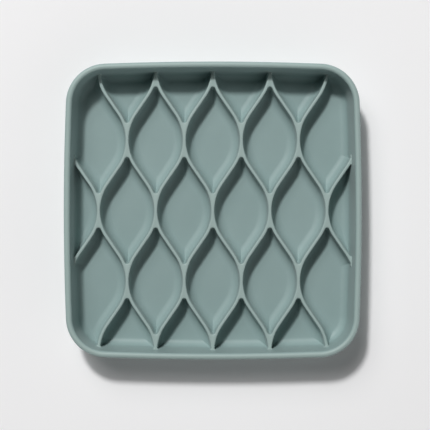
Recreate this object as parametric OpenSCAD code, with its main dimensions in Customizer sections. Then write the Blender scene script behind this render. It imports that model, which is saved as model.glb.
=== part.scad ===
// Square silicone slow feeder: a rounded tray with a lattice of wave ribs and four suction cups.
// Millimetres, +Z up, origin on the ground under the middle of the tray.

/* [Tray] */
// Overall width and length of the tray, across the rim
tray_w = 200; // [170:1:260]
// Overall height, from the ground to the top of the rim
tray_h = 28; // [22:0.5:40]
// Radius of the tray's corners, seen from above
corner_r = 25; // [20:0.5:40]
// How far each side bows outward at its middle
side_bow = 1.4; // [0.6:0.1:4]
// Thickness of the wall below the bead
wall_t = 3.9; // [2:0.1:5]
// How far the round bead along the rim stands proud of the wall on each side
rim_swell = 0.2; // [0.1:0.05:1]
// Lean of the wall outward, in degrees from upright
wall_lean = 8.5; // [2:0.5:10]
// Thickness of the floor
floor_t = 2.4; // [1.6:0.1:5]
// Radius where the floor turns up into the wall, inside
floor_fillet = 5.5; // [1:0.5:8]
// Radius of the lower outer edge
base_round = 2; // [0.5:0.1:3]

/* [Wave ribs] */
// Thickness of a rib
rib_w = 2.2; // [1.4:0.1:3.5]
// Height of the ribs above the floor
rib_h = 12; // [6:0.5:15]
// Slope of a rib's straight stretch, in degrees from lengthwise
rib_slope = 34.5; // [31:0.5:40]
// How far the edge of the rib lattice lies past the inside of the rim, within the side wall
lattice_overrun = 1.2; // [0.2:0.1:5]
// Radius in the fork where two ribs part
fork_r = 1.6; // [0.6:0.1:2]
// Seam between the end of a rib and the wall
rib_seam = 0.15; // [0.1:0.05:0.5]

/* [Suction cups] */
// Distance of a cup's centre from the sides of the tray
cup_inset = 40; // [30:1:60]
// Outer diameter of a cup's lip
cup_d = 26; // [18:0.5:40]
// Diameter of a cup's neck
neck_d = 10; // [6:0.5:14]
// Thickness of the lip
lip_t = 0.5; // [0.4:0.1:0.8]
// Width of the flat ring on which the lip stands
lip_foot = 1; // [0.5:0.1:2]
// Height of the lip at its inner edge
lip_h = 1.3; // [1.2:0.1:2]
// How far a lip gives when the tray is pressed down
lip_travel = 0.8; // [0.4:0.1:1.5]
// Running clearance of a lip to the neck and the floor
clearance = 0.3; // [0.2:0.05:0.5]

/* [Hidden] */
$fn = 64;
// Angle that one facet spans on a rib's curves
facet_a = 5;
// Angle that one facet spans on the curves of the wall's section
section_facet_a = 18;
// Facets along each rounded corner and along each bowed side
corner_steps = 12;
side_steps = 6;

// Outline: a bowed square with sharp corners, the core, grown outward by corner_r
core_c = tray_w / 2 - corner_r - side_bow;
bow_a = 2 * atan(side_bow / core_c);
core_bow_r = core_c / sin(bow_a);
bow_x = core_c - core_bow_r * cos(bow_a);

// Heights
floor_z = lip_h + lip_travel + clearance;
floor_top = floor_z + floor_t;
rim_r = wall_t / 2 + rim_swell;
bead_z = tray_h - rim_r;

// Section of the wall, measured outward from the edge of the core
bead_v = corner_r - rim_r;
half_wall = wall_t / 2 / cos(wall_lean);
outer_foot_v = wall_mid_v(floor_z) + half_wall;
inner_foot_v = wall_mid_v(floor_top) - half_wall;
bead_open_a = asin(wall_t / 2 / rim_r);

// Rib lattice: lanes side by side, each holding one rib that swings from edge to edge
half_lanes = 4;
SIDES = [["left", -1], ["right", 1]];
rim_inner = tray_w / 2 - 2 * rim_r;
lane_w = (rim_inner + lattice_overrun) / (half_lanes + 1);
row_l = rim_inner / 2;
bend_r = (row_l * sin(rib_slope) - lane_w * cos(rib_slope)) / (2 - 2 * cos(rib_slope));
bend_outer = bend_r + rib_w / 2;
bend_inner = bend_r - rib_w / 2;
fork_y = sqrt(pow(bend_outer + fork_r, 2) - pow(bend_r, 2));
fork_a = atan2(fork_y, bend_r);
near_x = -lane_w / 2;
near_bend_x = near_x + bend_r;
// Depth at which the ribs end inside the wall, outward from the edge of the core
root_v = wall_mid_v(floor_top + rib_h / 2);
// Length of the wall piece that trims a rib's end, and how far below the floor's top it starts
trim_l = 12 * rib_w;
trim_drop = rib_seam / 10;
// Where along its last bend a side rib runs into the wall, as a share of the bend
side_end = 0.75;

// Suction cups
cup_c = tray_w / 2 - cup_inset;
neck_bottom = lip_travel + clearance;
lip_inner_r = neck_d / 2 + clearance;
CUPS = [
    ["front_left", -1, -1],
    ["front_right", 1, -1],
    ["rear_left", -1, 1],
    ["rear_right", 1, 1]
];

// Colours
sage = [0.60, 0.69, 0.67];
sage_rib = [0.64, 0.73, 0.70];
sage_cup = [0.54, 0.63, 0.61];

function rest(points) = [for (i = [1:1:len(points) - 1]) points[i]];
function reversed(points) = [for (i = [len(points) - 1:-1:0]) points[i]];
function flipped(points, fx, fy) = [for (p = points) [p[0] * fx, p[1] * fy]];

// Points along an arc, both ends included
function arc(centre, r, from, to, facet = facet_a) =
    let (steps = max(1, ceil(abs(to - from) / facet)))
    [for (i = [0:steps]) let (a = from + (to - from) * i / steps) centre + r * [cos(a), sin(a)]];

// Middle of the leaning wall at a height, outward from the edge of the core
function wall_mid_v(z) = bead_v - (bead_z - z) * tan(wall_lean);

// Rounding where a level face meets the leaning wall, from the face up to the wall
function foot_arc(foot_v, z, r) =
    let (centre = [foot_v + r * tan(wall_lean) - r / cos(wall_lean), z + r])
    arc(centre, r, -90, -wall_lean, section_facet_a);

// Section of the wall: out from under the floor, up, over the bead and down to the floor's top
function wall_section() = concat(
    foot_arc(outer_foot_v, floor_z, base_round),
    arc([bead_v, bead_z], rim_r, bead_open_a - 90 - wall_lean, 270 - wall_lean - bead_open_a,
        section_facet_a),
    reversed(foot_arc(inner_foot_v, floor_top, floor_fillet))
);

// Stations round the outline, each a point on the core and the direction outward from it
function quarter_stations() = concat(
    [for (i = [0:side_steps - 1])
        let (a = bow_a * (2 * i / side_steps - 1))
        [[bow_x + core_bow_r * cos(a), core_bow_r * sin(a)], a]],
    [for (i = [0:corner_steps - 1])
        [[core_c, core_c], bow_a + (90 - 2 * bow_a) * i / corner_steps]]
);

// Station on the rear side or its corners, at a place across the tray
function rear_station(x) =
    abs(x) < core_c
        ? let (a = asin(x / (core_bow_r + root_v)))
            [[core_bow_r * sin(a), bow_x + core_bow_r * cos(a)], 90 - a]
        : let (a = asin((abs(x) - core_c) / root_v) * sign(x))
            [[core_c * sign(x), core_c], 90 - a];

// Point at a depth outward from a station
function out_from(station, v) = station[0] + v * [cos(station[1]), sin(station[1])];

function turned(p, a) = [p[0] * cos(a) - p[1] * sin(a), p[0] * sin(a) + p[1] * cos(a)];

// Wall, rim and floor in one skin, swept round the outline and closed by the floor's two faces
module tray_shell() {
    section = wall_section();
    quarter = quarter_stations();
    per = len(section);
    count = 4 * len(quarter);
    points = [
        for (turn = [0:90:270])
            for (station = quarter)
                for (s = section)
                    let (p = turned(out_from(station, s[0]), turn))
                    [p[0], p[1], s[1]]
    ];
    skin = [
        for (i = [0:count - 1])
            for (j = [0:per - 2])
                let (a = i * per + j, b = (i + 1) % count * per + j)
                [a, a + 1, b + 1, b]
    ];
    underside = [for (i = [0:count - 1]) i * per];
    top = [for (i = [count - 1:-1:0]) i * per + per - 1];
    color(sage) polyhedron(points, concat(skin, [underside, top]), convexity = 4);
}

// Half of a rib from its middle bend to its rear end, up the near edge of its lane and back down.
// The near edge is where the rib meets its neighbour at the middle and at the ends.
function near_fork_above(y) = concat(
    arc([near_x, y + fork_y], fork_r, -90, -fork_a),
    rest(arc([near_bend_x, y], bend_outer, 180 - fork_a, 180 - rib_slope))
);
function near_fork_below(y) = flipped(reversed(near_fork_above(-y)), 1, -1);
function far_fork(y) = concat(
    flipped(near_fork_below(y), -1, 1),
    flipped(near_fork_above(y), -1, 1)
);
function near_bend_above(r, y, to) = arc([near_bend_x, y], r, 180 - to, 180 - rib_slope);
function near_bend_below(r, y, to) = flipped(reversed(near_bend_above(r, -y, to)), 1, -1);
function far_bend(r, y, to) = arc([-near_bend_x, y], r, -rib_slope, to);

function wave_half(end_y, lone) =
    let (
        last = 2 * row_l,
        end_near = lone
            ? near_bend_below(bend_outer, last, asin((last - end_y) / bend_outer))
            : concat(near_fork_below(last), [[near_x, end_y]]),
        near = concat(near_fork_above(0), far_bend(bend_inner, row_l, rib_slope), end_near),
        far = concat(
            near_bend_above(bend_inner, 0, 0),
            far_fork(row_l),
            near_bend_below(bend_inner, last, asin((last - end_y) / bend_inner))
        )
    )
    concat(near, reversed(far));

function side_half(end_x) =
    let (
        reach = end_x + near_bend_x,
        near = concat(near_fork_above(0), far_bend(bend_inner, row_l, -acos(reach / bend_inner))),
        far = concat(
            near_bend_above(bend_inner, 0, 0),
            far_bend(bend_outer, row_l, -acos(reach / bend_outer))
        )
    )
    concat(near, reversed(far));

// Both halves of a rib, drawn as in a lane whose near edge is on the left
function whole(half) = concat(half, flipped(rest(reversed(half)), 1, -1));

// Straight piece of the wall at a station, moved in by the seam, which trims the end of a rib.
// It also sits a touch low, so that it cuts right through the rib's foot.
module wall_piece(station) {
    translate(station[0])
        rotate([90, 0, station[1]])
            linear_extrude(trim_l, center = true)
                translate([-rib_seam, -trim_drop])
                    polygon(wall_section());
}

// Rib that runs the whole length of the tray; lanes count from the middle outward
module wave_rib(lane, side) {
    lane_x = (lane - 0.5) * lane_w;
    near = lane % 2 == 1 ? 1 : -1;
    station = rear_station(lane_x + near * near_x);
    end_y = out_from(station, root_v)[1];
    color(sage_rib)
        scale([side, 1, 1])
            difference() {
                translate([lane_x, 0, floor_top])
                    linear_extrude(rib_h)
                        polygon(flipped(whole(wave_half(end_y, lane == half_lanes)), near, 1));
                for (end = [-1, 1])
                    scale([1, end, 1])
                        wall_piece(station);
            }
}

// Short rib beside the outermost wave rib, bowed out to the side wall at both ends
module side_rib(side) {
    lane_x = (half_lanes + 0.5) * lane_w;
    station = rear_station(row_l - side_end * bend_r * sin(rib_slope));
    end_x = out_from(station, root_v)[1];
    color(sage_rib)
        scale([side, 1, 1])
            difference() {
                translate([lane_x, 0, floor_top])
                    linear_extrude(rib_h)
                        polygon(whole(side_half(end_x - lane_x)));
                for (end = [-1, 1])
                    scale([1, end, 1])
                        mirror([1, -1, 0])
                            wall_piece(station);
            }
}

module at_cup(cup) {
    translate([cup[1] * cup_c, cup[2] * cup_c, 0]) children();
}

module cup_neck(cup) {
    color(sage_cup)
        at_cup(cup)
            translate([0, 0, neck_bottom])
                cylinder(h = floor_z - neck_bottom, d = neck_d);
}

module cup_lip(cup) {
    color(sage_cup)
        at_cup(cup)
            rotate_extrude()
                polygon([
                    [cup_d / 2 - lip_foot, 0],
                    [cup_d / 2, 0],
                    [cup_d / 2, lip_t],
                    [lip_inner_r, lip_h],
                    [lip_inner_r, lip_h - lip_t]
                ]);
}

tray_shell();
for (side = SIDES) {
    for (lane = [1:half_lanes])
        wave_rib(lane, side[1]);
    side_rib(side[1]);
}
for (cup = CUPS) {
    cup_neck(cup);
    cup_lip(cup);
}
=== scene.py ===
# %% [markdown]
# # A square silicone slow feeder
# The real feeder is a shallow tray, moulded in soft matte silicone. A lattice of wavy ribs inside it
# parts the food into leaf-shaped pockets, so that a pet eats slowly.
# The CAD solids are loaded first as a fixed frame. Each of them then gets a skin with the rounded
# edges and fillets of a moulding, and the skins take the finish of silicone.

import math

import bmesh
import bpy
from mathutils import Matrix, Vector


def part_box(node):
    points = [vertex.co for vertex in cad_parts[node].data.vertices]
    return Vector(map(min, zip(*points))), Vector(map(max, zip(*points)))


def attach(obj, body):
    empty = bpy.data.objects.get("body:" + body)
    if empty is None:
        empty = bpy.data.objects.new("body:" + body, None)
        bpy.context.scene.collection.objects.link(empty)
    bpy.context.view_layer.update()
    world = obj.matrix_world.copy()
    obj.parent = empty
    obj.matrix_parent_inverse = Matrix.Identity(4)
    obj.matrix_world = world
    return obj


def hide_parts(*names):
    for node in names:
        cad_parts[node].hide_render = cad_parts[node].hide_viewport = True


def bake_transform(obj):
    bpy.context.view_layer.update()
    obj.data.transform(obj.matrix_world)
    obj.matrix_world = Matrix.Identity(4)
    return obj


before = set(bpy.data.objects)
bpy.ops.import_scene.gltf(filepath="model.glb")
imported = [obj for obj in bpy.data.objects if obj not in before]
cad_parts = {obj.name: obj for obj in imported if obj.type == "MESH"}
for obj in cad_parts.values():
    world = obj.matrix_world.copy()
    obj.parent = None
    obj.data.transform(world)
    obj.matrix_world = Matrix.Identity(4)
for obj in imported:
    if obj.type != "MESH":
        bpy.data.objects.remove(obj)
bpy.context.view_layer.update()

# %% [markdown]
# ## Working in edit mode from a script
# Modelling by hand is a chain of picking and shaping: pick some vertices, edges or faces, then run an
# operator on them. An operator acts on all that is selected, and the frame leaves its solids selected.
# So one helper opens a single object for editing, and another picks what passes a test. Two small
# distances say when places count as the same.

# %% Helpers for picking
near = 1e-5
exact = 1e-6


def edit(obj):
    """Open one object in edit mode, with nothing picked."""
    bpy.ops.object.select_all(action="DESELECT")
    obj.select_set(True)
    bpy.context.view_layer.objects.active = obj
    bpy.ops.object.mode_set(mode="EDIT")
    bpy.ops.mesh.select_mode(type="VERT")
    bpy.ops.mesh.select_all(action="DESELECT")


def finish_edit():
    bpy.ops.object.mode_set(mode="OBJECT")


def pick(kind, test):
    """Pick the verts, edges or faces of the open object that pass a test, and return how many."""
    bpy.ops.mesh.select_mode(type={"verts": "VERT", "edges": "EDGE", "faces": "FACE"}[kind])
    bpy.ops.mesh.select_all(action="DESELECT")
    data = bpy.context.object.data
    mesh = bmesh.from_edit_mesh(data)
    mesh.normal_update()
    chosen = [element for element in getattr(mesh, kind) if test(element)]
    for element in chosen:
        element.select_set(True)
    bmesh.update_edit_mesh(data)
    return len(chosen)


def pick_all():
    bpy.ops.mesh.select_mode(type="VERT")
    bpy.ops.mesh.select_all(action="SELECT")


def triangles(obj):
    return sum(len(face.vertices) - 2 for face in obj.data.polygons)


print("picking helpers ready")

# %% [markdown]
# ## Drawing a section and sweeping it
# The tray's wall and the suction cups are the same all along a round path. Such a shape is best drawn
# once, as a flat line in the XZ plane, and spun. The line is drawn by extruding one vertex from corner
# to corner, and its corners are then rounded by a bevel of single vertices.

# %% Helpers for sections


def at(vertex, x, z):
    """Whether a vertex of a section lies at a place."""
    return math.hypot(vertex.co.x - x, vertex.co.z - z) < near


def draw_to(x, z):
    """Extrude the one picked vertex of a section to a place, which leaves the new vertex picked."""
    data = bpy.context.object.data
    here = next(v.co.copy() for v in bmesh.from_edit_mesh(data).verts if v.select)
    step = Vector((x, here.y, z)) - here
    bpy.ops.mesh.extrude_region_move(TRANSFORM_OT_translate={"value": step})


def round_corner(x, z, radius, turn, segments):
    """Round a corner of a section, where its line turns by an angle, to a radius."""
    pick("verts", lambda v: at(v, x, z))
    reach = radius * math.tan(turn / 2)
    bpy.ops.mesh.bevel(offset=reach, segments=segments, profile=0.5, affect="VERTICES")


def turn_about(x, y, angle, steps):
    """Sweep what is picked about an upright axis, anticlockwise from above."""
    bpy.ops.mesh.spin(steps=steps, angle=-angle, center=(x, y, 0), axis=(0, 0, 1))


print("section helpers ready")

# %% [markdown]
# ## The tray
# The wall of the tray leans out a little, has a round bead along the rim, and turns into the floor in
# a soft fillet. That section is the same all the way round, so it is drawn once: a circle for the
# bead, cut open below, whose two ends are drawn down to the floor's faces.

# %% Section of the tray's wall
tray_low, tray_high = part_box("tray_shell")
rib_low, rib_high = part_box("wave_rib_right_1")
half_w = tray_high.x
rim_top = tray_high.z
floor_under = tray_low.z
floor_top = rib_low.z
rib_top = rib_high.z

wall_t = 0.0039
wall_lean = math.radians(8.5)
rim_r = 0.00215
rim_points = 60
floor_fillet = 0.0055
base_round = 0.002
floor_margin = 0.008

bead_x = half_w - rim_r
bead_z = rim_top - rim_r
bead_open = math.asin(wall_t / 2 / rim_r)
half_wall = wall_t / 2 / math.cos(wall_lean)
foot_turn = math.pi / 2 - wall_lean


def wall_mid_x(z):
    """Distance of the middle of the wall from the middle of the tray, at a height."""
    return bead_x - (bead_z - z) * math.tan(wall_lean)


def in_bead_opening(vertex):
    """Whether a vertex of the bead lies where the wall joins it from below."""
    away = Vector((vertex.co.x - bead_x, vertex.co.z - bead_z))
    down = Vector((-math.sin(wall_lean), -math.cos(wall_lean)))
    return away.angle(down) < bead_open


outer_foot = wall_mid_x(floor_under) + half_wall
inner_foot = wall_mid_x(floor_top) - half_wall

bpy.ops.object.select_all(action="DESELECT")
bpy.ops.mesh.primitive_circle_add(
    vertices=rim_points, radius=rim_r, location=(bead_x, 0, bead_z), rotation=(math.pi / 2, 0, 0)
)
tray = bpy.context.object
tray.name = "tray_moulding"
bpy.ops.object.transform_apply(location=True, rotation=True, scale=True)

edit(tray)
pick("verts", in_bead_opening)
bpy.ops.mesh.delete(type="VERT")
pick("verts", lambda v: len(v.link_edges) == 1 and v.co.x > bead_x)
draw_to(outer_foot, floor_under)
draw_to(outer_foot - floor_margin, floor_under)
round_corner(outer_foot, floor_under, base_round, foot_turn, segments=8)
pick("verts", lambda v: len(v.link_edges) == 1 and v.co.z > floor_top)
draw_to(inner_foot, floor_top)
draw_to(inner_foot - floor_margin, floor_top)
round_corner(inner_foot, floor_top, floor_fillet, foot_turn, segments=14)
finish_edit()
print(f"wall section: {len(tray.data.vertices)} points")
print(f"floor: from {floor_under:.4f} m up to {floor_top:.4f} m")

# %% [markdown]
# ## The tray's outline
# Seen from above the tray isn't a plain rounded square: each side bows out by a millimetre or so, as
# soft mouldings are drawn to look straight. The section is therefore swept by nine spins in turn: long
# ones of a large radius for the sides, short ones for the corners, and half a side to start and to
# close the ring. The floor's two faces then fill what is left open.

# %% Sweep the section round the outline
corner_r = 0.027
side_bow = 0.0014
side_steps = 12
corner_steps = 24
floor_border = 0.002
smooth_angle = math.radians(40)

core = half_w - corner_r - side_bow
bow_angle = 2 * math.atan(side_bow / core)
bow_centre = core - core / math.tan(bow_angle)
corner_angle = math.pi / 2 - 2 * bow_angle

edit(tray)
pick_all()
turn_about(bow_centre, 0, bow_angle, side_steps // 2)
turn_about(core, core, corner_angle, corner_steps)
turn_about(0, bow_centre, 2 * bow_angle, side_steps)
turn_about(-core, core, corner_angle, corner_steps)
turn_about(-bow_centre, 0, 2 * bow_angle, side_steps)
turn_about(-core, -core, corner_angle, corner_steps)
turn_about(0, -bow_centre, 2 * bow_angle, side_steps)
turn_about(core, -core, corner_angle, corner_steps)
turn_about(bow_centre, 0, bow_angle, side_steps // 2)
pick_all()
bpy.ops.mesh.remove_doubles(threshold=near)
for level in (floor_top, floor_under):
    pick("edges", lambda e: e.is_boundary and all(abs(v.co.z - level) < near for v in e.verts))
    bpy.ops.mesh.edge_face_add()
    bpy.ops.mesh.inset(thickness=floor_border)
pick_all()
bpy.ops.mesh.normals_make_consistent(inside=False)
finish_edit()
bpy.ops.object.shade_smooth_by_angle(angle=smooth_angle)
print(f"tray: {triangles(tray)} triangles, {tray.dimensions.x:.4f} m wide")

# %% [markdown]
# ## The rib lattice
# Eight ribs swing down the whole tray and meet their neighbours at every turn, and a short rib on each
# side bows out to the wall. In silicone they are one lattice, with no seam where two ribs meet.
# The tops of the CAD ribs already have the right plan, down to the small radius in each fork. So copies
# of those top faces are the start, joined into one flat lattice. The ends that meet the wall are
# pushed into it, so that no gap shows.

# %% Join copies of the ribs' tops
end_reach = 0.8 * half_w
end_slant = 0.0006
wall_bite = 0.0012
level_normal = 0.99
flat_angle = math.radians(0.5)

lane_w = rib_high.x - rib_low.x
rib_nodes = sorted(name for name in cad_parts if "rib" in name)


def is_top(face):
    return face.normal.z > level_normal and face.calc_center_median().z > rib_top - near


def push_ends(name):
    """Push both ends of a rib's top out into the wall that they meet."""
    low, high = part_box(name)
    axis = 0 if "side" in name else 1
    for place, sign in ((high[axis], 1), (-low[axis], -1)):
        if place < end_reach:
            continue
        pick("verts", lambda v: sign * v.co[axis] > place - end_slant)
        step = [0, 0, 0]
        step[axis] = sign * wall_bite
        bpy.ops.transform.translate(value=step)


tops = []
for name in rib_nodes:
    top = bpy.data.objects.new("lattice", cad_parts[name].data.copy())
    bpy.context.scene.collection.objects.link(top)
    edit(top)
    pick_all()
    bpy.ops.mesh.remove_doubles(threshold=exact)
    pick("faces", lambda f: not is_top(f))
    bpy.ops.mesh.delete(type="FACE")
    pick_all()
    bpy.ops.mesh.dissolve_limited(angle_limit=flat_angle)
    push_ends(name)
    finish_edit()
    tops.append(top)

bpy.ops.object.select_all(action="DESELECT")
for top in tops:
    top.select_set(True)
lattice = tops[0]
bpy.context.view_layer.objects.active = lattice
bpy.ops.object.join()
edit(lattice)
pick_all()
bpy.ops.mesh.remove_doubles(threshold=near)
outline = pick("edges", lambda e: e.is_boundary)
finish_edit()
print(f"lattice: {len(rib_nodes)} tops joined, {outline} edges round the pockets")

# %% [markdown]
# ## Sides and feet of the ribs
# A moulded rib has a round crown, and sides that taper, so that it leaves its mould. Its foot runs into
# the floor in a wide fillet, and where its end meets the wall, its sides swing out in a small one. A
# bevel could round all this, but the fillets are wider than the narrow tips of the pockets, and a bevel
# tangles there. By hand the outline of the tops would be drawn in to the flat of the crown and then
# extruded down ring by ring, each pushed out a little further, and so it is done here.
# The outline first gets more points, closest near the wall, where the rings change most.

# %% More points along the outline
end_fillet = 0.0014
coarse_edge = 0.002
fine_edge = 0.0003

core_bow_r = core / math.sin(bow_angle)
wall_face = wall_mid_x(rib_top) - half_wall - (half_w - corner_r)
wall_middle = wall_mid_x(floor_top) - (half_w - corner_r)
wall_deep = wall_middle + wall_t / 4


def outward(place):
    """Depth of a place outward from the edge of the tray's core, which has sharp corners."""
    long, short = max(abs(place.x), abs(place.y)), min(abs(place.x), abs(place.y))
    if short > core:
        return math.hypot(long - core, short - core)
    return math.hypot(long - bow_centre, short) - core_bow_r


def cut_edges(mesh, longest, depth):
    """Cut the edges of the outline that reach out to a depth, down to a length."""
    for edge in [edge for edge in mesh.edges if edge.is_boundary]:
        cuts = int(edge.calc_length() / longest)
        if cuts and max(outward(vertex.co) for vertex in edge.verts) > depth:
            bmesh.ops.subdivide_edges(mesh, edges=[edge], cuts=cuts)


edit(lattice)
mesh = bmesh.from_edit_mesh(lattice.data)
cut_edges(mesh, coarse_edge, depth=-core_bow_r)
cut_edges(mesh, fine_edge, depth=wall_face - end_fillet)
print(f"outline: {len(mesh.verts)} points")
bmesh.update_edit_mesh(lattice.data)
finish_edit()

# %% [markdown]
# ## Which way is out
# Each point of a ring moves square to the outline, out of the rib. Where two ribs meet, on the edge of
# a lane, that has to be along the lane. Near the wall the outline has a slight kink, where the rib's
# end was pushed in, and points close to it would swap places far out, at the edge of the foot. So near
# the wall each direction is evened out with those beside it.

# %% Directions out of the ribs
evened_depth = 2 * end_fillet


def on_lane_edge(place):
    return abs(place.x - round(place.x / lane_w) * lane_w) < exact


def outline_normal(vertex):
    """Direction square to the outline, away from the rib, and kept along the lane on its edge."""
    out = Vector((0, 0))
    for side in vertex.link_edges:
        if side.is_boundary:
            loop = side.link_loops[0]
            along = loop.link_loop_next.vert.co - loop.vert.co
            out += Vector((along.y, -along.x)).normalized()
    if on_lane_edge(vertex.co):
        out.x = 0
    return out.normalized()


def even_out(outs, passes):
    """Even out the directions near the wall, so that the feet of close neighbours keep their order."""
    for _ in range(passes):
        evened = {}
        for vertex, out in outs.items():
            if outward(vertex.co) > wall_face - evened_depth:
                sides = [side for side in vertex.link_edges if side.is_boundary]
                beside = sum((outs[side.other_vert(vertex)] for side in sides), Vector((0, 0)))
                evened[vertex] = (2 * out + beside).normalized()
        outs.update(evened)


print(f"directions: evened out within {evened_depth:.4f} m of the wall")

# %% [markdown]
# ## How far each point may go
# In the narrow tip of a pocket the fillets of two ribs meet halfway, on the edge of the lane, and at
# its end a rib is buried in the wall. So the rings need four limits at each point: its share of the
# round crown, the swing of the small fillet at the wall, and the room to the edge of the lane and to
# the middle of the wall. What has no plain formula is found by walking outward in small steps.

# %% Room round each point
crown_r = 0.0008
crown_fade = crown_r / 2
taper = 0.0004
rib_fillet = 0.006
fork_r = 0.0016
fillet_reach = taper + rib_fillet
half_lanes = 4
last_edge_end = 0.5 * half_w
room_step = 0.0001


def crown_share(place):
    """How much of the round crown a place has: all of it up to the wall, none where it is buried."""
    buried = outward(place) - wall_face
    return min(1, max(0, 1.5 - buried / crown_fade))


def swing_at_wall(place, out):
    """How far a rib's side swings out where it is close to the wall, but not through the wall."""
    into = end_fillet - max(0, wall_face - outward(place))
    swing = end_fillet - math.sqrt(end_fillet**2 - max(0, into) ** 2)
    while swing > 0 and outward(place + out * swing) > wall_deep:
        swing -= room_step
    return max(0, swing)


def room_in_lane(place, out):
    """Distance to the edge of the lane, where a fillet meets its mirror image.

    The place in the very tip of a pocket is on that edge: its fillet ends at the middle of the fork's
    small radius. Near the corners the outermost edge has no second rib beside it.
    """
    if on_lane_edge(place) and outward(place) < wall_face:
        return fork_r
    lane = math.floor(place.x / lane_w) + (out.x > 0)
    alone = abs(lane) > half_lanes or (abs(lane) == half_lanes and abs(place.y) > last_edge_end)
    if alone or abs(out.x) < exact:
        return fillet_reach
    return min(fillet_reach, (lane * lane_w - place.x) / out.x)


def room_to_wall(place, out):
    """Distance to the middle of the wall."""
    reach = 0
    while reach < fillet_reach and outward(place + out * reach) < wall_middle:
        reach += room_step
    return reach


print(f"fillets: {fillet_reach:.4f} m wide where there is room")

# %% [markdown]
# ## A number for each point
# Extruding copies whatever layers of values a mesh has. So each point of the outline gets a number in
# such a layer, which every ring below it then carries too, and a table holds what belongs to it.

# %% Number the points
evening_passes = 4

spots = []
edit(lattice)
mesh = bmesh.from_edit_mesh(lattice.data)
number = mesh.verts.layers.int.new("spot")
outs = {vertex: outline_normal(vertex) for vertex in mesh.verts}
even_out(outs, evening_passes)
for vertex, out in outs.items():
    place = vertex.co.xy
    vertex[number] = len(spots)
    limits = swing_at_wall(place, out), room_in_lane(place, out), room_to_wall(place, out)
    spots.append((place, out, crown_share(place), *limits))
bmesh.update_edit_mesh(lattice.data)
finish_edit()
short_of_room = sum(room < fillet_reach for place, out, crown, swing, room, to_wall in spots)
print(f"outline: {short_of_room} of {len(spots)} points are short of room for the whole fillet")

# %% [markdown]
# ## Ring by ring down to the floor
# The first ring is drawn in to the flat of the crown. The next ones follow the crown's quarter round,
# one goes down the tapered side, and the last follow the fillet. Points that stopped at the edge of a
# lane meet their mirror images there and are merged. The bottom is sunk into the floor a little, so
# that no two faces lie in one plane, and is then filled.

# %% Extrude the ribs down to the floor
crown_steps = 5
fillet_steps = 9
foot_sink = 0.00015
side_top = rib_top - crown_r


def ring_height(reach):
    """Height of the crown, side or fillet where it has come out this far from the rib's outline."""
    if reach <= 0:
        return side_top + math.sqrt(max(0, crown_r**2 - (crown_r + reach) ** 2))
    if reach <= taper:
        return side_top + (floor_top + rib_fillet - side_top) * reach / taper
    across = 1 - (reach - taper) / rib_fillet
    return floor_top + rib_fillet * (1 - math.sqrt(max(0, 1 - across**2)))


def lay_ring(reach):
    """Lay the picked ring out, as far as each of its points has room."""
    mesh = bmesh.from_edit_mesh(lattice.data)
    number = mesh.verts.layers.int["spot"]
    for vertex in mesh.verts:
        if vertex.select:
            place, out, crown, swing, room, to_wall = spots[vertex[number]]
            reached = min(reach, room)
            spread = swing + reached * crown if reached < 0 else max(swing, min(reached, to_wall))
            vertex.co = (*(place + out * spread), ring_height(reached))
    bmesh.update_edit_mesh(lattice.data)


def ring_down(reach):
    """Extrude the picked ring and lay out the new one."""
    bpy.ops.mesh.extrude_region_move()
    lay_ring(reach)


edit(lattice)
pick("edges", lambda e: e.is_boundary)
lay_ring(-crown_r)
for step in range(1, crown_steps + 1):
    turn = math.pi / 2 * step / crown_steps
    ring_down(crown_r * (math.sin(turn) - 1))
ring_down(taper)
for step in range(1, fillet_steps + 1):
    turn = math.pi / 2 * step / fillet_steps
    ring_down(taper + rib_fillet * (1 - math.cos(turn)))
pick_all()
bpy.ops.mesh.remove_doubles(threshold=near)
bpy.ops.mesh.dissolve_degenerate(threshold=exact)
pick("edges", lambda e: e.is_boundary)
bpy.ops.mesh.extrude_region_move(TRANSFORM_OT_translate={"value": (0, 0, -foot_sink)})
bpy.ops.mesh.fill(use_beauty=False)
left_open = pick("edges", lambda e: not e.is_manifold)
finish_edit()
print(f"lattice: {left_open} open edges, {triangles(lattice)} triangles")

# %% [markdown]
# ## One skin for each rib
# The ribs of the frame are separate pieces, so the lattice is now parted along the edges of the lanes.
# It is square to its surface there, so the parted skins still look like one moulding. A bisect does
# it: it cuts the picked faces along a plane and clears one side of it.

# %% Part the lattice into ribs


def lane_skin(name, node, sign, lane):
    """Copy of the lattice in one lane, cut upright along both edges of it, with the cuts closed.

    In the corners of the tray the last wavy rib stands alone, and its foot runs on past the edge.
    """
    skin = bpy.data.objects.new(name, lattice.data.copy())
    bpy.context.scene.collection.objects.link(skin)
    edit(skin)
    for cut in (lane - 1, lane):
        inner = cut < lane
        end = last_edge_end if lane == half_lanes and not inner else half_w
        pick("faces", lambda f: all(abs(v.co.y) < end for v in f.verts))
        bpy.ops.mesh.bisect(
            plane_co=(sign * cut * lane_w, 0, 0), plane_no=(sign, 0, 0), threshold=exact,
            clear_inner=inner, clear_outer=not inner
        )
        pick("edges", lambda e: e.is_boundary)
        bpy.ops.mesh.fill_holes(sides=0)
    if lane > half_lanes:
        pick("verts", lambda v: abs(v.co.y) > last_edge_end)
        bpy.ops.mesh.delete(type="VERT")
    finish_edit()
    bpy.ops.object.shade_smooth_by_angle(angle=smooth_angle)
    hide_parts(node)
    return skin


ribs = []
for side, sign in (("left", -1), ("right", 1)):
    for lane in range(1, half_lanes + 1):
        ribs.append(lane_skin(f"wave_skin_{side}_{lane}", f"wave_rib_{side}_{lane}", sign, lane))
    ribs.append(lane_skin(f"side_skin_{side}", f"side_rib_{side}", sign, half_lanes + 1))
bpy.data.objects.remove(lattice)
print("ribs:", ", ".join(f"{rib.name} {triangles(rib)}" for rib in ribs))

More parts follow.
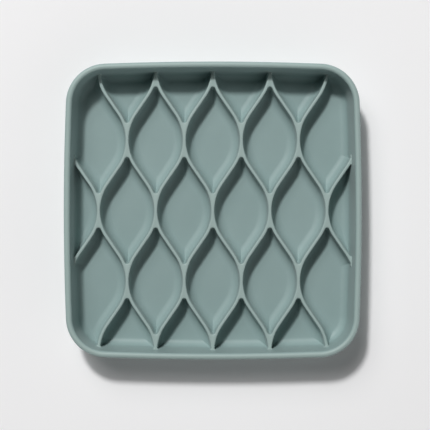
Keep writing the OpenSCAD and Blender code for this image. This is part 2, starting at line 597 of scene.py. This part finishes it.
# %% [markdown]
# ## The suction cups
# Under the floor sit four shallow suction cups, each one soft piece: a neck that spreads into a thin
# lip, hollow below. A cup is round, so half of its section is drawn and spun once about its own axis.
# When the tray is pressed down the lip rises towards the floor while the neck stays with the tray.

# %% Suction cups
cup_places = ("front_left", "front_right", "rear_left", "rear_right")
lip_low, lip_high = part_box("cup_lip_front_left")
neck_low, neck_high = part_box("cup_neck_front_left")
cup_r = (lip_high.x - lip_low.x) / 2
neck_r = (neck_high.x - neck_low.x) / 2
lip_h = lip_high.z
lip_t = 0.0005
lip_foot = 0.001
cup_bury = 0.0002
dome_rise = 0.0001
neck_fillet = 0.0004
lip_round = 0.0002
dome_round = 0.003
neck_turn = math.radians(80)
dome_turn = math.radians(6)
cup_steps = 72


def suction_cup(name, centre):
    bpy.ops.object.select_all(action="DESELECT")
    bpy.ops.mesh.primitive_plane_add(size=neck_r, location=(0, 0, floor_under + cup_bury))
    cup = bpy.context.object
    cup.name = name
    bpy.ops.object.transform_apply(location=True, rotation=True, scale=True)
    edit(cup)
    pick_all()
    bpy.ops.mesh.merge(type="CENTER")
    pick_all()
    draw_to(neck_r, floor_under + cup_bury)
    draw_to(neck_r, lip_h)
    draw_to(cup_r, lip_t)
    draw_to(cup_r, 0)
    draw_to(cup_r - lip_foot, 0)
    draw_to(neck_r, lip_h - lip_t)
    draw_to(0, lip_h - lip_t + dome_rise)
    round_corner(neck_r, lip_h, neck_fillet, neck_turn, segments=5)
    round_corner(cup_r, lip_t, lip_round, neck_turn, segments=4)
    round_corner(neck_r, lip_h - lip_t, dome_round, dome_turn, segments=4)
    pick_all()
    turn_about(0, 0, 2 * math.pi, cup_steps)
    pick_all()
    bpy.ops.mesh.remove_doubles(threshold=exact)
    bpy.ops.mesh.normals_make_consistent(inside=False)
    bpy.ops.transform.translate(value=(centre.x, centre.y, 0))
    finish_edit()
    bpy.ops.object.shade_smooth_by_angle(angle=smooth_angle)
    return cup


cups = []
for place in cup_places:
    low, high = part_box("cup_lip_" + place)
    cup = suction_cup("suction_cup_" + place, (low + high) / 2)
    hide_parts("cup_neck_" + place, "cup_lip_" + place)
    "lip_" + place
    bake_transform(cup)
    cups.append(cup)
print(f"cups: {len(cups)} of {triangles(cups[0])} triangles")

# %% [markdown]
# ## Shader maths as plain expressions
# A finish is easier to read as a formula than as a heap of nodes. This small class wraps a socket, so
# that adding or multiplying two of them adds the Math node that does it, and one method makes any
# other node from its type, its settings and what goes into its sockets.

# %% Sockets with operators


class Value:
    """The output of a node, on which ordinary arithmetic adds Math nodes."""

    def __init__(self, nodes, socket):
        self.nodes = nodes
        self.socket = socket

    def maths(self, operation, first, second=0.0, clamp=False):
        settings = {"operation": operation, "use_clamp": clamp}
        return self.nodes.add("ShaderNodeMath", settings, {0: first, 1: second})

    def __add__(self, other):
        return self.maths("ADD", self, other)

    __radd__ = __add__

    def __sub__(self, other):
        return self.maths("SUBTRACT", self, other)

    def __rsub__(self, other):
        return self.maths("SUBTRACT", other, self)

    def __mul__(self, other):
        return self.maths("MULTIPLY", self, other)

    __rmul__ = __mul__

    def clamped(self):
        return self.maths("ADD", self, 0.0, clamp=True)


class Nodes:
    """The emptied node tree of a material or a world, with one method that adds any node."""

    def __init__(self, owner):
        owner.use_nodes = True
        self.tree = owner.node_tree
        self.tree.nodes.clear()

    def add(self, kind, settings, sockets, output=0):
        node = self.tree.nodes.new(kind)
        for key, value in settings.items():
            setattr(node, key, value)
        for key, value in sockets.items():
            if isinstance(value, Value):
                self.tree.links.new(value.socket, node.inputs[key])
            else:
                node.inputs[key].default_value = value
        return Value(self, node.outputs[output]) if node.outputs else None


print("shader helpers ready")

# %% [markdown]
# ## Sage silicone
# Silicone from a blasted mould is matte, with a broad soft sheen. Its colour is even, but not flat:
# there is a slow mottle in the pigment and fine dust that clings to it. A painted highlight, a paler
# colour along the crowns and the rim, stands in for the brighter light there. The mould's blasted grain
# is a fine bump in the surface. All of it follows Object coordinates, so it stays in place on every
# piece.

# %% Silicone finish
sage = (0.266, 0.361, 0.354, 1)
sage_deep = (0.246, 0.340, 0.333, 1)
# Pale colour for the real dust, and for the painted highlight along the crowns and the rim.
pale_dust_and_highlight = (0.347, 0.442, 0.418, 1)
mottle_scale = 22
ripple_scale = 45
dust_scale = 700
grain_scale = 1800
# Painted highlight: how far below the top the paler colour reaches, and how strongly it is mixed in.
highlight_depth = 0.0012
highlight_share = 0.75
dust_bloom = 0.1
bump_depth = 0.00006
bump_strength = 0.25
specular = 0.38
sheen = 0.08


def silicone(name, roughness, highlight_top):
    """Sage silicone of a given gloss, with a painted highlight, a paler colour, just below a height."""
    material = bpy.data.materials.new(name)
    nodes = Nodes(material)
    place = nodes.add("ShaderNodeTexCoord", {}, {}, output="Object")

    def noise(scale, detail):
        sockets = {"Vector": place, "Scale": scale, "Detail": detail, "Roughness": 0.6}
        return nodes.add("ShaderNodeTexNoise", {}, sockets)

    def mix(share, first, second):
        sockets = {0: share, 6: first, 7: second}
        return nodes.add("ShaderNodeMix", {"data_type": "RGBA"}, sockets, output=2)

    mottle = noise(mottle_scale, detail=3)
    dust = ((noise(dust_scale, detail=2) - 0.6) * 6).clamped()
    height = nodes.add("ShaderNodeSeparateXYZ", {}, {0: place}, output="Z")
    # Painted highlight: paler colour near the top of the crowns and the rim, standing in for the light
    # they catch.
    painted_highlight = ((height - (highlight_top - highlight_depth)) * (1 / highlight_depth)).clamped()
    pigment = mix(((mottle - 0.35) * 2.5).clamped(), sage_deep, sage)
    # Paling from real dust, together with the painted highlight.
    dust_and_highlight = (painted_highlight * highlight_share + dust * dust_bloom).clamped()
    colour = mix(dust_and_highlight, pigment, pale_dust_and_highlight)
    gloss = (mottle - 0.5) * 0.12 + dust * 0.1 + roughness
    grain = noise(grain_scale, detail=2)
    ripple = noise(ripple_scale, detail=1)
    sockets = {"Height": grain * 0.6 + ripple * 4, "Strength": bump_strength, "Distance": bump_depth}
    bump = nodes.add("ShaderNodeBump", {}, sockets)
    sockets = {"Base Color": colour, "Roughness": gloss, "Normal": bump, "Specular IOR Level": specular,
               "Sheen Weight": sheen, "Sheen Roughness": 0.5}
    shader = nodes.add("ShaderNodeBsdfPrincipled", {}, sockets)
    nodes.add("ShaderNodeOutputMaterial", {}, {"Surface": shader})
    return material


# The painted highlight runs along the rim of the tray and along the crowns of the ribs. The cups lie
# below it.
tray_silicone = silicone("silicone_tray", roughness=0.5, highlight_top=rim_top)
rib_silicone = silicone("silicone_ribs", roughness=0.5, highlight_top=rib_top)
cup_silicone = silicone("silicone_cups", roughness=0.4, highlight_top=rim_top)
print("finishes:", ", ".join(m.name for m in (tray_silicone, rib_silicone, cup_silicone)))

# %% [markdown]
# ## Dressing the pieces
# Each skin takes its finish. The tray and its ribs also take the body that they move with, and they
# ride on one body. The cups take only their finish.

# %% Finish and body of each piece


def dress(piece, material):
    piece.data.materials.clear()
    piece.data.materials.append(material)


dress(tray, tray_silicone)
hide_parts("tray_shell")
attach(tray, "tray")
for rib in ribs:
    dress(rib, rib_silicone)
    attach(rib, "tray")
for cup in cups:
    dress(cup, cup_silicone)
print(f"dressed: 1 tray, {len(ribs)} ribs, {len(cups)} cups")

# %% [markdown]
# ## Pale floor
# The feeder lies on a plain pale floor, wide enough that its edge never shows. A slow noise between
# two close tones keeps it from looking like an empty page.

# %% Pale floor
floor_size = 6.0
paper_low = (0.905, 0.90, 0.905, 1)
paper_high = (0.93, 0.925, 0.93, 1)

bpy.ops.object.select_all(action="DESELECT")
bpy.ops.mesh.primitive_plane_add(size=floor_size, location=(0, 0, 0))
ground = bpy.context.object
ground.name = "pale_floor"
paper = bpy.data.materials.new("pale_paper")
nodes = Nodes(paper)
place = nodes.add("ShaderNodeTexCoord", {}, {}, output="Object")
fibre = nodes.add("ShaderNodeTexNoise", {}, {"Vector": place, "Scale": 3.0, "Detail": 4.0})
sockets = {0: fibre, 6: paper_low, 7: paper_high}
colour = nodes.add("ShaderNodeMix", {"data_type": "RGBA"}, sockets, output=2)
sockets = {"Base Color": colour, "Roughness": 0.9, "Specular IOR Level": 0.2}
shader = nodes.add("ShaderNodeBsdfPrincipled", {}, sockets)
nodes.add("ShaderNodeOutputMaterial", {}, {"Surface": shader})
ground.data.materials.append(paper)
print(f"floor: {floor_size} m wide")

# %% [markdown]
# ## Lamps
# One round studio lamp stands up behind the feeder to the left, small enough to draw clear shadows of
# the ribs, with a wide diffuser round it that softens their far edges. A lamp's power is worked out
# from the light level that it should give, so that its size and distance can change freely.

# %% Studio lamp and diffuser
lamp_distance = 5.0


def round_lamp(name, towards, spread, level):
    """Round area lamp that looks this wide from the feeder and gives the floor this light level."""
    towards = Vector(towards).normalized()
    bpy.ops.object.light_add(type="AREA", location=towards * lamp_distance)
    lamp = bpy.context.object
    lamp.name = name
    lamp.rotation_euler = towards.to_track_quat("Z", "Y").to_euler()
    lamp.data.shape = "DISK"
    lamp.data.size = 2 * lamp_distance * math.tan(math.radians(spread) / 2)
    lamp.data.energy = level * math.pi**2 * lamp_distance**2 / towards.z
    return lamp


lamps = [
    round_lamp("studio_lamp", (-0.31, 0.725, 1), spread=7, level=0.55),
    round_lamp("lamp_diffuser", (-0.42, 0.75, 1), spread=35, level=0.27),
]
for lamp in lamps:
    print(f"{lamp.name}: {lamp.data.size:.3f} m across, {lamp.data.energy:.1f} W")

# %% [markdown]
# ## Light of the room
# The rest of the light comes from the room, which the world stands for: a dim light from in front and
# to the right, whose brightness is the direction's dot product with one vector, and pale walls all
# round, low above the floor, which are also the background of a low view.

# %% Fill light and horizon
fill_from = (0.60, -0.72, -0.36)
horizon_level = 0.75
horizon_height = 0.2

room = bpy.data.worlds.new("studio")
bpy.context.scene.world = room
nodes = Nodes(room)
direction = nodes.add("ShaderNodeTexCoord", {}, {}, output="Generated")
height = nodes.add("ShaderNodeSeparateXYZ", {}, {0: direction}, output="Z")
settings, sockets = {"operation": "DOT_PRODUCT"}, {0: direction, 1: fill_from}
fill = nodes.add("ShaderNodeVectorMath", settings, sockets, output="Value").clamped()
horizon = (1 - height * (1 / horizon_height)).clamped() * horizon_level
background = nodes.add("ShaderNodeBackground", {}, {"Color": fill + horizon})
nodes.add("ShaderNodeOutputWorld", {}, {"Surface": background})
bpy.context.scene.view_settings.view_transform = "Standard"
print(f"room: horizon level {horizon_level}, fill from {fill_from}")

# %% [markdown]
# ## Camera
# The photo looks straight down. The inner walls show a little on all four sides, so the camera was
# near, not at infinity, and stood almost over the middle of the tray.

# %% Camera
camera_height = 0.93
camera_offset = (0.0015, -0.0030)
camera_lens = 112.8
camera_sensor = 36

bpy.ops.object.camera_add(location=(*camera_offset, camera_height), rotation=(0, 0, 0))
camera = bpy.context.object
camera.name = "photo_camera"
camera.data.lens = camera_lens
camera.data.sensor_width = camera_sensor
bpy.context.scene.camera = camera
print(f"camera: {camera_height} m up, {camera_lens} mm lens")
